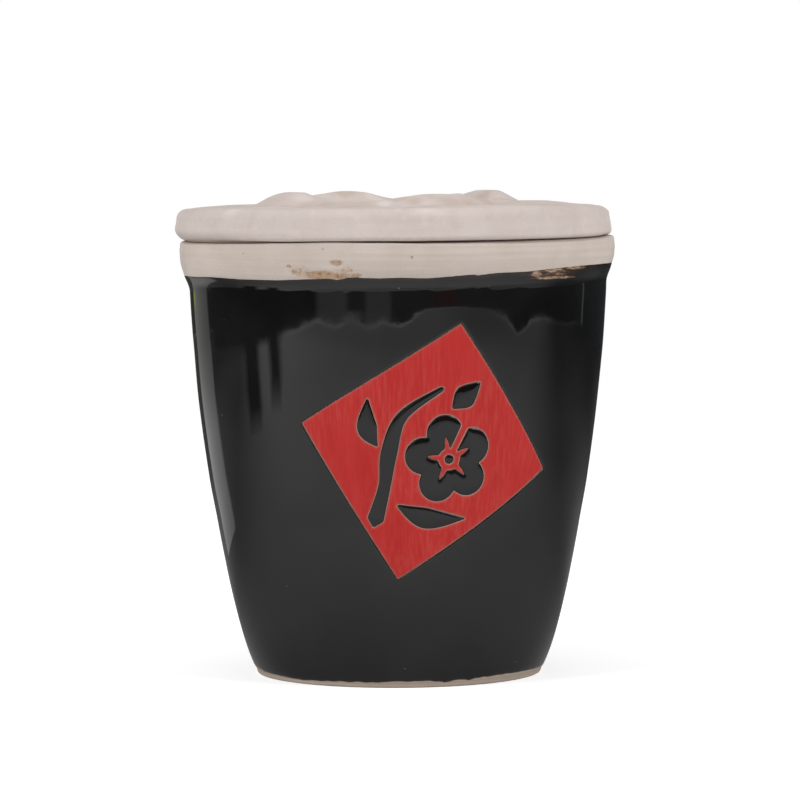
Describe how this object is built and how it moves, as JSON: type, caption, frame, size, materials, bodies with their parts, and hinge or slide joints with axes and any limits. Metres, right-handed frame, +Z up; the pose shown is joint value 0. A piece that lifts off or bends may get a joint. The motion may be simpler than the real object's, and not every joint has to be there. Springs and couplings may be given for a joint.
{
  "type": "lidded condiment jar",
  "caption": "Tapered stoneware jar with dark glaze, a bare clay rim and a painted panel, closed by a thick loose clay lid that lifts off by a pinched grip.",
  "frame": {"origin": "on the jar's axis, in the plane that the foot stands on", "axes": "+Z up along the jar's axis, -Y towards the painted front"},
  "size_m": [0.1616, 0.1604, 0.1766],
  "materials": {
    "bare_clay": "unglazed fired clay, matt",
    "lid_clay": "unglazed fired clay, matt, hand-pinched",
    "black_glaze": "glossy near-black glaze",
    "inner_glaze": "glossy dark brown glaze",
    "red_slip": "brushed red slip, matt to satin"
  },
  "bodies": {
    "jar": {"jar_body": "bare_clay", "outer_glaze": "black_glaze", "inner_glaze": "inner_glaze", "red_panel": "red_slip", "motif_blossom": "black_glaze", "motif_blossom_eye": "black_glaze", "motif_twig": "black_glaze", "motif_leaf_left": "black_glaze", "motif_leaf_low": "black_glaze", "motif_bud": "black_glaze"},
    "lid": {"lid": "lid_clay"}
  },
  "joints": [
    {"name": "lid_lift", "type": "slide", "parent": "jar", "child": "lid", "axis": [0, 0, 1], "range_m": [0, 0.08]}
  ]
}
